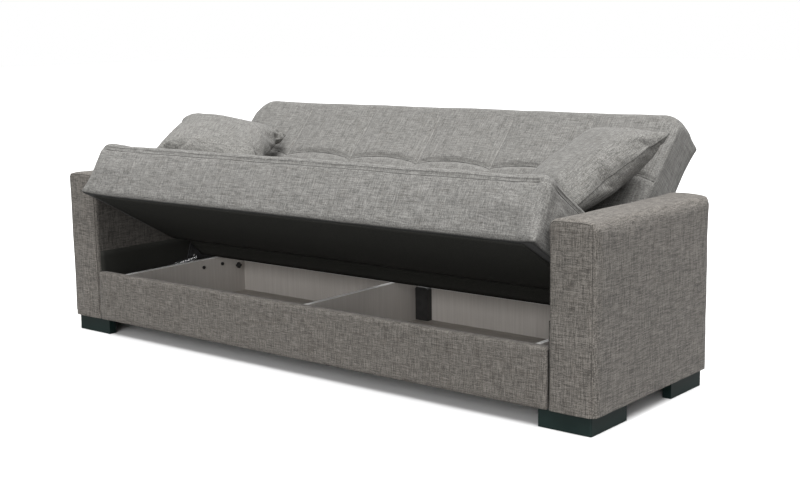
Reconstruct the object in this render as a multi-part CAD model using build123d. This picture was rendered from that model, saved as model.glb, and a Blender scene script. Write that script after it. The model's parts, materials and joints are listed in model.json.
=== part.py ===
from build123d import *
import math
import os

# Storage sofa bed in millimetres: X along the width, Y from front to rear, Z up from the floor.
# It is drawn lying flat as a bed, with Y from the middle of the arms, then the seat is raised and the back
# turned up to the open position, and the origin goes to the floor below the middle of the open sofa.

# Arms, feet and front rail
overall_width = 2200.0
arm_width = 146.0
arm_depth = 664.0
arm_height = 584.0
arm_crown = 6.0
arm_edge_radius = 26.0
arm_end_radius = 14.0
arm_pad = 12.0
arm_top_pad = 24.0
arm_board = 16.0
lining_thickness = 2.0
lining_height = 245.0
foot_height = 55.0
foot_wall = 28.0
foot_front_length = 168.0
foot_side_length = 190.0
foot_inset = 12.0
foot_corner_radius = 5.0
foot_front_screw = 76.0
foot_side_screw = 133.0
rail_height = 173.0
rail_board = 18.0
rail_pad = 12.0
rail_edge_radius = 9.0
rail_wrap = 28.0
rail_wrap_thickness = 2.0

# Storage box
panel_thickness = 16.0
panel_height = 150.0
band_thickness = 1.5
floor_thickness = 8.0
floor_lift = 2.0
hinge_bay = 66.0
back_panel_height = 115.0
relief_length = 66.0
post_width = 54.0
post_depth = 24.0
post_height = 118.0
post_radius = 10.0

# Hinge line and angles
hinge_from_rear = 178.0
hinge_z = 313.0
lift_angle = 29.0
sitting_angle = 75.0
surface_above_hinge = 104.0
end_gap = 24.0

# Seat
seat_thickness = 185.0
seat_front = 581.0
seat_rear = 102.0
seat_crown = 12.0
seat_nose_rise = 25.0
seat_middle_rise = 5.0
seat_front_bulge = 8.0
seat_side_draw = 5.0
seat_corner_radius = 48.0
seat_edge_radius = 26.0
wing_gap = 3.0
wing_ease = 30.0
wing_overlap = 60.0
wing_drop = 3.0
seat_bottom_radius = 9.0
cushion_wall = 25.0
seat_pocket = 70.0
seat_rail = 20.0
seat_rail_height = 58.0
webbing_thickness = 2.0
webbing_width = 60.0
seat_straps = 8
dust_cover = 1.5
dust_cover_inset = 24.0

# Back
back_thickness = 142.0
back_below_hinge = 80.0
back_above_hinge = 610.0
back_top_slant = 42.0
back_foot_radius = 50.0
back_top_radius = 34.0
back_rear_radius = 26.0
back_plan_radius = 40.0
back_hollow = 14.0
hollow_start = 60.0
hollow_end = 320.0
panel_columns = 6
seam_depth = 13.0
cross_seam = 335.0
cross_seam_width = 34.0
cross_seam_depth = 19.5
crest_drop = 1.0
back_frame_depth = 34.0
back_rail = 45.0
back_straps = 6

# Ratchet hinges, spring and fasteners
back_arm_plate = 4.0
seat_arm_plate = 4.0
base_plate = 6.0
plate_gap = 1.0
pin_radius = 7.0
spacer_radius = 13.0
hinge_eye = 30.0
plate_foot = 22.0
plate_bar = 16.0
plate_bolt_front = 53.0
plate_bolt_rear = 43.0
plate_bolt_drop = 127.0
upper_bolt_rear = 31.0
upper_bolt_drop = 78.0
knob_bolt_rear = 127.0
knob_bolt_drop = 145.0
seat_arm_reach = 300.0
seat_arm_drop = 48.0
seat_arm_end = 20.0
seat_bolt_reach = (200.0, 285.0)
seat_bolt_drop = (38.0, 46.0)
back_arm_reach = 255.0
back_arm_end = 17.0
back_bolt_reach = (130.0, 240.0)
sector_radius = 50.0
sector_start = 92.0
sector_end = 192.0
tooth_height = 5.0
tooth_lean = 0.25
teeth = 12
pawl_pivot = 78.0
pawl_radius = 9.0
pawl_tip = 2.2
pawl_pin_radius = 4.0
tail_reach = 108.0
tail_end = 13.0
spring_radius = 10.0
spring_wire = 3.0
spring_turns = 22
spring_hook_forward = 229.0
spring_hook_drop = 118.0
spring_pin_radius = 4.0
bolt_radius = 4.0
bolt_head_radius = 7.0
bolt_head = 4.0
tube_radius = 7.0
knob_radius = 12.0
knob_hub = 8.4
knob_lobe = 4.8
knob_lobes = 4
knob_thickness = 9.0
screw_radius = 2.5
screw_head_radius = 6.0
screw_head = 4.0
screw_bite = 13.0

# Loose pillows
pillow_size = 400.0
pillow_thickness = 104.0
pillow_edge = 7.0
pillow_draw = 20.0
pillow_side_swell = 2.4
pillow_top_swell = 0.75
right_pillow_inset = 166.0
right_pillow_forward = 133.65
right_pillow_turn = (56.8, -18.3, -25.6)
right_pillow_rise = 1.0
left_pillow_inset = 209.0
left_pillow_forward = 244.0
left_pillow_turn = (38.3, 16.1, 28.7)
left_pillow_rise = 10.94

# Clearances
fit = 0.25
running = 0.6
soft_gap = 0.5
cut_past = 1.0

# Places that follow from the sizes above
half_width = overall_width / 2
arm_inner = half_width - arm_width
half_depth = arm_depth / 2
hinge_y = half_depth - hinge_from_rear
rail_top = foot_height + rail_height
rail_back = -half_depth + rail_pad + rail_board
box_front = rail_back + rail_wrap_thickness
floor_bottom = foot_height + floor_lift
floor_top = floor_bottom + floor_thickness
panel_outer = arm_inner - hinge_bay
panel_inner = panel_outer - panel_thickness
panel_top = floor_top + panel_height
back_panel_face = half_depth - panel_thickness
back_panel_top = floor_top + back_panel_height
slab_half = arm_inner - end_gap
seat_top = hinge_z + surface_above_hinge
seat_bottom = seat_top - seat_thickness
back_rear = seat_top - back_thickness
back_rest_angle = sitting_angle - lift_angle
hinge_axis = Axis((0, hinge_y, hinge_z), (1, 0, 0))
back_arm_x = slab_half + soft_gap
seat_arm_x = back_arm_x + back_arm_plate + plate_gap
lining_x = arm_inner - lining_thickness
base_plate_x = lining_x - base_plate
rest_tail = (hinge_y - tail_reach * math.sin(math.radians(lift_angle)),
             hinge_z - tail_reach * math.cos(math.radians(lift_angle)))
base_hook = (hinge_y - spring_hook_forward, hinge_z - spring_hook_drop)
spring_x = (panel_outer + base_plate_x) / 2 + spring_wire

# Bolt places in the plane of the hinge plates, measured from the hinge line
plate_bolts = [(hinge_y - plate_bolt_front, hinge_z - plate_bolt_drop),
               (hinge_y + plate_bolt_rear, hinge_z - plate_bolt_drop)]
upper_bolt = (hinge_y + upper_bolt_rear, hinge_z - upper_bolt_drop)
knob_bolt = (hinge_y + knob_bolt_rear, hinge_z - knob_bolt_drop)
arm_holes = plate_bolts + [upper_bolt, knob_bolt]
panel_holes = plate_bolts + [knob_bolt]
seat_bolts = [(hinge_y - reach, hinge_z - drop) for reach, drop in zip(seat_bolt_reach, seat_bolt_drop)]
back_bolts = [(hinge_y + reach, hinge_z) for reach in back_bolt_reach]


def block(x0, x1, y0, y1, z0, z1):
    box = Box(x1 - x0, y1 - y0, z1 - z0, align=(Align.MIN, Align.MIN, Align.MIN))
    return Pos(x0, y0, z0) * box


def rounded_face(curve, corners):
    face = make_face(curve)
    for point, radius in corners:
        corner = face.vertices().sort_by_distance(point)[0]
        face = fillet(corner, radius)
    return face


def side_slab(face, x0, x1):
    return Pos(x0, 0, 0) * extrude(Plane.YZ * face, amount=x1 - x0, dir=(1, 0, 0))


def front_slab(face, y0, y1):
    return Pos(0, y0, 0) * extrude(Plane.XZ * face, amount=y1 - y0, dir=(0, 1, 0))


def plan_slab(face, z0, z1):
    return Pos(0, 0, z0) * extrude(face, amount=z1 - z0, dir=(0, 0, 1))


def rod(spot, radius, x0, x1):
    cylinder = Cylinder(radius, x1 - x0, rotation=(0, 90, 0))
    return Pos((x0 + x1) / 2, spot[0], spot[1]) * cylinder


def disc(spot, radius):
    return Pos(*spot) * Circle(radius)


def strap(*discs):
    return make_hull([edge for spot, radius in discs for edge in disc(spot, radius).edges()])


def other_side(shape):
    return mirror(shape, about=Plane.YZ)


def raised(shape):
    return shape.rotate(hinge_axis, -lift_angle)


def reclined(shape):
    return shape.rotate(hinge_axis, back_rest_angle)


def group(shapes):
    return Compound([solid for shape in shapes for solid in shape.solids()])


# Arms
def arm_form():
    middle = (arm_inner + half_width) / 2
    shoulder = arm_height - arm_crown
    inner_top = (arm_inner, shoulder)
    outer_top = (half_width, shoulder)
    front = Polyline(inner_top, (arm_inner, foot_height), (half_width, foot_height), outer_top)
    front += ThreePointArc(outer_top, (middle, arm_height), inner_top)
    front_face = rounded_face(front, [(inner_top, arm_edge_radius), (outer_top, arm_edge_radius)])
    side = Rectangle(arm_depth, arm_height - foot_height, align=(Align.CENTER, Align.MIN))
    side_face = Pos(0, foot_height) * side
    side_face = fillet(side_face.vertices().group_by(Axis.Y)[-1], arm_end_radius)
    plan = Pos(middle, 0) * RectangleRounded(arm_width, arm_depth, arm_end_radius)
    form = front_slab(front_face, -half_depth, half_depth)
    form &= side_slab(side_face, arm_inner, half_width)
    return form & plan_slab(plan, foot_height, arm_height)


def arm_frame_box():
    return (arm_inner + arm_pad, half_width - arm_pad, -half_depth + arm_pad, half_depth - arm_pad,
            foot_height, arm_height - arm_top_pad)


def arm_bolt_bores(spots, x0, x1):
    return Part() + [rod(spot, bolt_radius + fit, x0, x1) for spot in spots]


def arm_cover():
    return arm_form() - block(*arm_frame_box()) - arm_bolt_bores(arm_holes, arm_inner, arm_inner + arm_pad)


def arm_frame():
    x0, x1, y0, y1, z0, z1 = arm_frame_box()
    inner_board = block(x0, x0 + arm_board, y0, y1, z0, z1)
    inner_board -= arm_bolt_bores(arm_holes, x0, x0 + arm_board)
    outer_board = block(x1 - arm_board, x1, y0, y1, z0, z1)
    xs = (x0 + arm_board, x1 - arm_board)
    bottom = block(*xs, y0, y1, z0, z0 + arm_board)
    screws = foot_screw_spots()
    bottom -= Part() + [Pos(x, y, z0) * Cylinder(screw_radius + fit, 2 * screw_bite) for x, y in screws]
    outer_board -= Part() + [Pos(x, y, z0) * Cylinder(screw_radius + fit, 2 * screw_bite) for x, y in screws]
    top = block(*xs, y0, y1, z1 - arm_board, z1)
    front = block(*xs, y0, y0 + arm_board, z0 + arm_board, z1 - arm_board)
    rear = block(*xs, y1 - arm_board, y1, z0 + arm_board, z1 - arm_board)
    return group([inner_board, outer_board, bottom, top, front, rear])


def arm_lining():
    y1 = half_depth - arm_end_radius
    sheet = block(lining_x, arm_inner, -y1, y1, foot_height, foot_height + lining_height)
    return sheet - arm_bolt_bores(arm_holes, lining_x, arm_inner)


# Feet and their screws
def foot_screw_spots():
    x = half_width - foot_inset
    y = half_depth - foot_inset
    spots = []
    for end in (-1, 1):
        spots.append((x - foot_front_screw, end * (y - foot_wall / 2)))
        spots.append((x - foot_wall / 2, end * (y - foot_side_screw)))
    return spots


def front_foot():
    x1 = half_width - foot_inset
    y0 = -half_depth + foot_inset
    front_leg = block(x1 - foot_front_length, x1, y0, y0 + foot_wall, 0, foot_height)
    side_leg = block(x1 - foot_wall, x1, y0, y0 + foot_side_length, 0, foot_height)
    foot = front_leg + side_leg
    outer_edge = foot.edges().filter_by(Axis.Z).sort_by_distance((x1, y0, foot_height / 2))[0]
    foot = fillet(outer_edge, foot_corner_radius)
    for x, y in foot_screw_spots():
        if y < 0:
            foot -= Pos(x, y, foot_height / 2) * Cylinder(screw_radius + fit, foot_height)
            foot -= Pos(x, y, 0) * Cylinder(screw_head_radius + fit, 4 * screw_head)
    return foot


def foot_screws():
    screws = []
    for x, y in foot_screw_spots():
        shank_length = foot_height - 2 * screw_head + screw_bite
        shank = Pos(x, y, 2 * screw_head + shank_length / 2) * Cylinder(screw_radius, shank_length)
        head = Pos(x, y, 1.5 * screw_head) * Cylinder(screw_head_radius, screw_head)
        screws.append(shank + head)
    return group(screws + [other_side(screw) for screw in screws])


# Front rail
def front_rail_board():
    y0 = -half_depth + rail_pad
    return block(-lining_x, lining_x, y0, rail_back, floor_bottom, rail_top - rail_pad)


def front_rail_cover():
    y0 = -half_depth
    wrap_y = rail_back + rail_wrap_thickness
    wrap_z = rail_top - rail_wrap
    section = [(y0, foot_height), (y0, rail_top), (wrap_y, rail_top), (wrap_y, wrap_z), (rail_back, wrap_z)]
    section += [(rail_back, rail_top - rail_pad), (y0 + rail_pad, rail_top - rail_pad)]
    section += [(y0 + rail_pad, floor_bottom), (rail_back, floor_bottom), (rail_back, foot_height)]
    corners = [((y0, rail_top), rail_edge_radius), ((y0, foot_height), rail_edge_radius)]
    return side_slab(rounded_face(Polyline(*section, close=True), corners), -lining_x, lining_x)


# Storage box
def panel_face(drop):
    points = [(box_front, floor_top), (back_panel_face, floor_top), (back_panel_face, back_panel_top - drop)]
    points += [(back_panel_face - relief_length, panel_top - drop), (box_front, panel_top - drop)]
    return make_face(Polyline(*points, close=True))


def box_panel(x0, x1):
    return side_slab(panel_face(band_thickness), x0, x1)


def side_panel():
    return box_panel(panel_inner, panel_outer) - arm_bolt_bores(panel_holes, panel_inner, panel_outer)


def divider():
    return box_panel(-panel_thickness / 2, panel_thickness / 2)


def back_panel():
    top = back_panel_top - band_thickness
    return block(-lining_x, lining_x, back_panel_face, half_depth, floor_bottom, top)


def floor_board():
    return block(0, lining_x, rail_back, back_panel_face, floor_bottom, floor_top)


def edge_bands():
    band = panel_face(0) - panel_face(band_thickness)
    side = side_slab(band, panel_inner, panel_outer)
    middle = side_slab(band, -panel_thickness / 2, panel_thickness / 2)
    rear_z = back_panel_top - band_thickness
    rear = block(-lining_x, lining_x, back_panel_face, half_depth, rear_z, back_panel_top)
    return group([side, other_side(side), middle, rear])


def divider_post():
    outline = Rectangle(post_width, post_height, align=(Align.MIN, Align.MIN))
    face = Pos(panel_thickness / 2, floor_top) * outline
    face = fillet(face.vertices().group_by(Axis.Y)[-1], post_radius)
    return front_slab(face, back_panel_face - post_depth, back_panel_face)


# Bolts that hold the arms to the box
def hexagon(spot, radius, x0, x1):
    return side_slab(Pos(*spot) * RegularPolygon(radius, 6), x0, x1)


bolt_end = arm_inner + arm_pad + arm_board


def arm_bolts():
    bolts = []
    for spot in plate_bolts:
        head = hexagon(spot, bolt_head_radius, panel_inner - bolt_head, panel_inner)
        bolts.append(head + rod(spot, bolt_radius, panel_inner, bolt_end + bolt_head))
    head = hexagon(upper_bolt, bolt_head_radius, base_plate_x - bolt_head, base_plate_x)
    bolts.append(head + rod(upper_bolt, bolt_radius, base_plate_x, bolt_end + bolt_head))
    bolts.append(rod(knob_bolt, bolt_radius, panel_inner, bolt_end + bolt_head))
    return group(bolts + [other_side(bolt) for bolt in bolts])


def arm_nuts():
    nuts = []
    for spot in arm_holes:
        nut = hexagon(spot, bolt_head_radius, bolt_end, bolt_end + bolt_head)
        nuts.append(nut - rod(spot, bolt_radius, bolt_end, bolt_end + bolt_head))
    return group(nuts + [other_side(nut) for nut in nuts])


def bolt_tubes():
    tubes = []
    for spot in panel_holes:
        end = lining_x if spot == knob_bolt else base_plate_x
        tube = rod(spot, tube_radius, panel_outer, end) - rod(spot, bolt_radius + fit, panel_outer, end)
        tubes.append(tube)
    return group(tubes + [other_side(tube) for tube in tubes])


def arm_knobs():
    face = disc(knob_bolt, knob_hub)
    reach = knob_radius - knob_lobe
    for lobe in range(knob_lobes):
        angle = 2 * math.pi * lobe / knob_lobes
        place = (knob_bolt[0] + reach * math.cos(angle), knob_bolt[1] + reach * math.sin(angle))
        face += disc(place, knob_lobe)
    knob = side_slab(face, panel_inner - knob_thickness, panel_inner)
    return group([knob, other_side(knob)])


# Hinge plates on the arms, with the pivot pins and the front hooks of the springs
def spring_line():
    dy = rest_tail[0] - base_hook[0]
    dz = rest_tail[1] - base_hook[1]
    length = math.hypot(dy, dz)
    return length, (dy / length, dz / length), (-dz / length, dy / length)


def spring_end(spot, side):
    across = spring_line()[2]
    return (spot[0] + side * spring_radius * across[0], spot[1] + side * spring_radius * across[1])


def hinge_plate():
    front, rear = plate_bolts
    upright = strap((front, plate_foot), (rear, plate_foot), ((hinge_y, hinge_z), hinge_eye))
    bar = strap((front, plate_foot), (spring_end(base_hook, -1), plate_bar))
    plate = side_slab(upright + bar, base_plate_x, lining_x)
    plate -= arm_bolt_bores(plate_bolts + [upper_bolt], base_plate_x, lining_x)
    return plate - rod((hinge_y, hinge_z), pin_radius, base_plate_x, lining_x)


def pivot_pins():
    pin = rod((hinge_y, hinge_z), pin_radius, back_arm_x, lining_x)
    return group([pin, other_side(pin)])


def pivot_spacers():
    x0 = seat_arm_x + seat_arm_plate + fit
    spacer = rod((hinge_y, hinge_z), spacer_radius, x0, base_plate_x)
    spacer -= rod((hinge_y, hinge_z), pin_radius, x0, base_plate_x)
    return group([spacer, other_side(spacer)])


def base_spring_pins():
    pin = rod(spring_end(base_hook, -1), spring_pin_radius, spring_x + spring_wire, base_plate_x)
    return group([pin, other_side(pin)])


# Seat arms with the toothed sectors, in the bed position
def toothed_sector():
    pitch = (sector_end - sector_start) / teeth
    points = [(hinge_y, hinge_z)]
    for tooth in range(teeth):
        for step, radius in ((tooth, sector_radius - tooth_height), (tooth + tooth_lean, sector_radius)):
            turn = math.radians(sector_start + step * pitch)
            points.append((hinge_y - radius * math.cos(turn), hinge_z + radius * math.sin(turn)))
    return make_face(Polyline(*points, close=True))


def seat_arm():
    hinge = (hinge_y, hinge_z)
    toe = (hinge_y - seat_arm_reach, hinge_z - seat_arm_drop)
    tail = (hinge_y, hinge_z - tail_reach)
    face = strap((hinge, hinge_eye), (toe, seat_arm_end)) + strap((hinge, hinge_eye), (tail, tail_end))
    face += toothed_sector()
    face -= disc(hinge, pin_radius + fit)
    for spot in seat_bolts:
        face -= disc(spot, bolt_radius + fit)
    return side_slab(face, seat_arm_x, seat_arm_x + seat_arm_plate)


def seat_spring_pins():
    pin = rod(spring_end(rest_tail, 1), spring_pin_radius, spring_x + spring_wire, seat_arm_x)
    return group([pin, other_side(pin)])


def seat_arm_sleeves():
    x0 = slab_half - cushion_wall
    sleeves = []
    for spot in seat_bolts:
        sleeve = rod(spot, tube_radius, x0, seat_arm_x) - rod(spot, bolt_radius + fit, x0, seat_arm_x)
        sleeves.append(sleeve)
    return group(sleeves + [other_side(sleeve) for sleeve in sleeves])


def seat_arm_bolts():
    x0 = slab_half - cushion_wall - seat_rail
    x1 = seat_arm_x + seat_arm_plate
    bolts = []
    for spot in seat_bolts:
        bolts.append(rod(spot, bolt_radius, x0, x1) + hexagon(spot, bolt_head_radius, x1, x1 + bolt_head))
    return group(bolts + [other_side(bolt) for bolt in bolts])


# Back arms and pawls, in the bed position
def back_arm():
    hinge = (hinge_y, hinge_z)
    tip = (hinge_y + back_arm_reach, hinge_z)
    face = strap((hinge, hinge_eye), (tip, back_arm_end)) - disc(hinge, pin_radius + fit)
    for spot in back_bolts:
        face -= disc(spot, bolt_radius + fit)
    return side_slab(face, back_arm_x, back_arm_x + back_arm_plate)


def back_arm_bolts():
    x0 = slab_half - cushion_wall - back_rail
    x1 = back_arm_x + back_arm_plate
    bolts = []
    for spot in back_bolts:
        bolts.append(rod(spot, bolt_radius, x0, x1) + hexagon(spot, bolt_head_radius, x1, x1 + bolt_head))
    return group(bolts + [other_side(bolt) for bolt in bolts])


def pawl_pins():
    x0 = back_arm_x + back_arm_plate
    x1 = seat_arm_x + seat_arm_plate
    pin = rod((hinge_y + pawl_pivot, hinge_z), pawl_pin_radius, x0, x1)
    return group([pin, other_side(pin)])


def pawl():
    pivot = (hinge_y + pawl_pivot, hinge_z)
    tip = (hinge_y + sector_radius + running + pawl_tip, hinge_z)
    face = strap((pivot, pawl_radius), (tip, pawl_tip)) - disc(pivot, pawl_pin_radius + fit)
    return side_slab(face, seat_arm_x, seat_arm_x + seat_arm_plate)


# Lift spring: a coil of half turns, each made of two arcs that share their tangent
def coil_point(turn):
    length, along, across = spring_line()
    angle = math.pi + 2 * math.pi * turn
    reach = length * turn / (spring_turns + 0.5)
    out = spring_radius * math.cos(angle)
    y = base_hook[0] + along[0] * reach + across[0] * out
    z = base_hook[1] + along[1] * reach + across[1] * out
    return Vector(spring_x + spring_radius * math.sin(angle), y, z)


def coil_tangent(turn):
    if turn == 0:
        return Vector(-1, 0, 0)
    if turn == spring_turns + 0.5:
        return Vector(1, 0, 0)
    step = 0.001
    return (coil_point(turn + step) - coil_point(turn - step)).normalized()


def two_arcs(start, start_way, end, end_way):
    span = end - start
    ways = start_way + end_way
    bend = 2 * (1 - start_way.dot(end_way))
    lean = span.dot(ways)
    reach = (math.sqrt(lean * lean + bend * span.dot(span)) - lean) / bend
    middle = (start + end + (start_way - end_way) * reach) * 0.5
    first = TangentArc(start, middle, tangent=start_way)
    return [first, TangentArc(middle, end, tangent=first % 1)]


def lift_spring():
    turns = [half / 2 for half in range(2 * spring_turns + 2)]
    lead = Vector(spring_wire, 0, 0)
    edges = [Line(coil_point(0) + lead, coil_point(0))]
    for turn, after in zip(turns, turns[1:]):
        edges += two_arcs(coil_point(turn), coil_tangent(turn), coil_point(after), coil_tangent(after))
    edges.append(Line(coil_point(turns[-1]), coil_point(turns[-1]) + lead))
    path = Wire([edge for piece in edges for edge in piece.edges()])
    start = Plane(origin=path @ 0, z_dir=path % 0)
    return sweep(start * Circle(spring_wire / 2), path=path)


def spring_self_gap():
    steps = 24
    points = [coil_point(step / steps) for step in range(int(steps * (spring_turns + 0.5)) + 1)]
    pairs = [(a, b) for a in range(len(points)) for b in range(a + steps // 2, len(points))]
    return min((points[a] - points[b]).length for a, b in pairs) - spring_wire


# Seat, in the bed position
seat_front_y = hinge_y - seat_front
seat_rear_y = hinge_y - seat_rear
seat_slant = math.tan(math.radians(90 - sitting_angle))
seat_edge_z = seat_top - seat_crown
seat_nose_z = seat_edge_z + seat_nose_rise
seat_slope = math.degrees(math.atan2(seat_nose_rise, seat_front - seat_rear))
cushion_bottom = seat_bottom + dust_cover
seat_foot_y = seat_rear_y - (seat_edge_z - cushion_bottom) * seat_slant
pocket_x = slab_half - cushion_wall
pocket_front = seat_front_y + cushion_wall + seat_front_bulge
pocket_rear = seat_foot_y - cushion_wall
rail_top_z = cushion_bottom + seat_rail_height
wing_x = lining_x - wing_gap
wing_rear_y = hinge_y - seat_arm_reach - seat_arm_end - wing_gap
wing_front_y = wing_rear_y - wing_ease


def seat_profile():
    middle_y = (seat_front_y + seat_rear_y) / 2
    front_mid = (seat_front_y, (seat_nose_z + cushion_bottom) / 2)
    toe = (seat_front_y + seat_front_bulge, cushion_bottom)
    nose = (seat_front_y + seat_front_bulge, seat_nose_z)
    heel = (seat_foot_y, cushion_bottom)
    rear = (seat_rear_y, seat_edge_z)
    side = Line(toe, heel) + Line(heel, rear)
    side += ThreePointArc(rear, (middle_y, seat_top + seat_middle_rise), nose)
    side += ThreePointArc(nose, front_mid, toe)
    radii = [(nose, seat_edge_radius), (rear, seat_edge_radius), (toe, seat_bottom_radius)]
    return rounded_face(side, radii)


def sloped(cap):
    slab = front_slab(cap, seat_front_y - seat_thickness, seat_rear_y + seat_thickness)
    return slab.rotate(Axis((0, seat_rear_y, seat_edge_z), (1, 0, 0)), -seat_slope)


def seat_body():
    middle_y = (seat_front_y + seat_rear_y) / 2
    low = cushion_bottom - seat_thickness
    left_top = (-slab_half, seat_edge_z)
    right_top = (slab_half, seat_edge_z)
    front = Polyline(left_top, (-slab_half, low), (slab_half, low), right_top)
    front += ThreePointArc(right_top, (0, seat_top), left_top)
    radii = [(right_top, seat_edge_radius), (left_top, seat_edge_radius)]
    form = side_slab(seat_profile(), -wing_x, wing_x) & sloped(rounded_face(front, radii))
    drawn = slab_half - seat_side_draw
    front_y = seat_front_y - cut_past
    rear_y = seat_rear_y + cut_past
    plan = Line((slab_half, front_y), (-slab_half, front_y))
    plan += ThreePointArc((-slab_half, front_y), (-drawn, middle_y), (-slab_half, rear_y))
    plan += Line((-slab_half, rear_y), (slab_half, rear_y))
    plan += ThreePointArc((slab_half, rear_y), (drawn, middle_y), (slab_half, front_y))
    radii = [((side_x, front_y), seat_corner_radius) for side_x in (-slab_half, slab_half)]
    return form & plan_slab(rounded_face(plan, radii), low, seat_nose_z + seat_thickness)


def seat_wing():
    inner = slab_half - wing_overlap
    low = cushion_bottom - seat_thickness
    top = seat_edge_z - wing_drop
    outer_top = (wing_x, top)
    front = Polyline((inner, top), (inner, low), (wing_x, low), outer_top, close=True)
    form = side_slab(seat_profile(), inner, arm_inner)
    form &= sloped(rounded_face(front, [(outer_top, seat_edge_radius)]))
    front_y = seat_front_y - cut_past
    corner = (wing_x, front_y)
    plan = Polyline((inner, front_y), corner, (wing_x, wing_front_y), (slab_half, wing_rear_y),
                    (inner, wing_rear_y), close=True)
    face = rounded_face(plan, [(corner, seat_corner_radius)])
    return form & plan_slab(face, low, seat_nose_z + seat_thickness)


def seat_form():
    wing = seat_wing()
    return seat_body() + wing + other_side(wing)


def seat_cushion():
    pocket_z = cushion_bottom + seat_pocket
    pocket = block(-pocket_x, pocket_x, pocket_front, pocket_rear, cushion_bottom, pocket_z)
    cushion = seat_form() - pocket
    bores = [rod(spot, tube_radius + fit, pocket_x, slab_half) for spot in seat_bolts]
    return cushion - bores - [other_side(bore) for bore in bores]


def seat_frame():
    z0, z1 = cushion_bottom, rail_top_z
    y0, y1 = pocket_front, pocket_rear
    inner = pocket_x - seat_rail
    side = block(inner, pocket_x, y0, y1, z0, z1)
    side -= [rod(spot, bolt_radius + fit, inner, pocket_x) for spot in seat_bolts]
    front = block(-inner, inner, y0, y0 + seat_rail, z0, z1)
    rear = block(-inner, inner, y1 - seat_rail, y1, z0, z1)
    cross = block(inner / 3 - seat_rail, inner / 3, y0 + seat_rail, y1 - seat_rail, z0, z1)
    return group([side, other_side(side), front, rear, cross, other_side(cross)])


def seat_webbing():
    pitch = 2 * pocket_x / seat_straps
    straps = []
    for number in range(seat_straps):
        x = -pocket_x + (number + 0.5) * pitch
        half = webbing_width / 2
        z1 = rail_top_z + webbing_thickness
        straps.append(block(x - half, x + half, pocket_front, pocket_rear, rail_top_z, z1))
    return group(straps)


def seat_dust_cover():
    inset = dust_cover_inset
    x = slab_half - inset
    return block(-x, x, seat_front_y + inset, seat_foot_y, seat_bottom, cushion_bottom)


# Back, in the bed position with its front face up
back_foot_y = hinge_y - back_below_hinge
back_top_y = hinge_y + back_above_hinge
back_pocket_front = hinge_z + back_frame_depth / 2
back_pocket_rear = hinge_z - back_frame_depth / 2
back_pocket_top = back_top_y - back_top_slant - back_rail
seam_y = hinge_y + cross_seam


def back_profile():
    foot_front = (back_foot_y, seat_top)
    foot_rear = (back_foot_y, back_rear)
    top_front = (back_top_y, seat_top)
    top_rear = (back_top_y - back_top_slant, back_rear)
    hollow = ((hinge_y + hollow_end, back_rear), (hinge_y + hollow_start, back_rear))
    deepest = (hinge_y + (hollow_start + hollow_end) / 2, back_rear + back_hollow)
    curve = Line(foot_rear, foot_front) + Line(foot_front, top_front) + Line(top_front, top_rear)
    curve += Line(top_rear, hollow[0]) + ThreePointArc(hollow[0], deepest, hollow[1])
    curve += Line(hollow[1], foot_rear)
    radii = [(foot_front, back_foot_radius), (top_front, back_top_radius), (top_rear, back_rear_radius)]
    return rounded_face(curve, radii)


def sewn_front(columns, y0, y1):
    pitch = 2 * slab_half / columns
    valley = seat_top - seam_depth
    seams = [-slab_half + number * pitch for number in range(columns + 1)]
    low = back_rear - back_thickness
    right_side = [(slab_half, valley), (arm_inner, valley), (arm_inner, low)]
    curve = Polyline(*right_side, (-arm_inner, low), (-arm_inner, valley), (-slab_half, valley))
    for left, right in zip(seams, seams[1:]):
        crest = ((left + right) / 2, seat_top - crest_drop)
        curve += ThreePointArc((left, valley), crest, (right, valley))
    return front_slab(make_face(curve), y0, y1)


def back_form():
    form = side_slab(back_profile(), -arm_inner, arm_inner)
    drawn = slab_half - seat_side_draw
    middle_y = (back_foot_y + back_top_y) / 2
    past_y = back_foot_y - cut_past
    foot = [(slab_half, back_foot_y), (slab_half, past_y), (-slab_half, past_y), (-slab_half, back_foot_y)]
    plan = Polyline(*foot)
    plan += ThreePointArc((-slab_half, back_foot_y), (-drawn, middle_y), (-slab_half, back_top_y))
    plan += Line((-slab_half, back_top_y), (slab_half, back_top_y))
    plan += ThreePointArc((slab_half, back_top_y), (drawn, middle_y), (slab_half, back_foot_y))
    radii = [((side_x, back_top_y), back_plan_radius) for side_x in (-slab_half, slab_half)]
    form &= plan_slab(rounded_face(plan, radii), back_rear - back_thickness, seat_top + back_thickness)
    upper = form & sewn_front(panel_columns, seam_y, back_top_y)
    lower = form & sewn_front(1, back_foot_y, seam_y)
    form = upper + lower
    half = cross_seam_width / 2
    groove = [(seam_y - half, seat_top), (seam_y, seat_top - cross_seam_depth), (seam_y + half, seat_top)]
    return form - side_slab(make_face(Polyline(*groove, close=True)), -arm_inner, arm_inner)


def back_cushion():
    y0 = back_foot_y
    pocket = block(-pocket_x, pocket_x, y0, back_pocket_top, back_pocket_rear, back_pocket_front)
    cushion = back_form() - pocket
    cushion -= block(-slab_half, slab_half, y0, y0 + dust_cover, back_rear, seat_top)
    bores = [rod(spot, bolt_radius + fit, pocket_x, slab_half) for spot in back_bolts]
    return cushion - bores - [other_side(bore) for bore in bores]


def back_frame():
    z0, z1 = back_pocket_rear, back_pocket_front
    y0, y1 = back_foot_y + dust_cover, back_pocket_top
    inner = pocket_x - back_rail
    stile = block(inner, pocket_x, y0, y1, z0, z1)
    stile -= [rod(spot, bolt_radius + fit, inner, pocket_x) for spot in back_bolts]
    foot = block(-inner, inner, y0, y0 + back_rail, z0, z1 - webbing_thickness)
    top = block(-inner, inner, y1 - back_rail, y1, z0, z1 - webbing_thickness)
    middle = block(-back_rail / 2, back_rail / 2, y0 + back_rail, y1 - back_rail, z0, z1 - webbing_thickness)
    return group([stile, other_side(stile), foot, top, middle])


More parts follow.
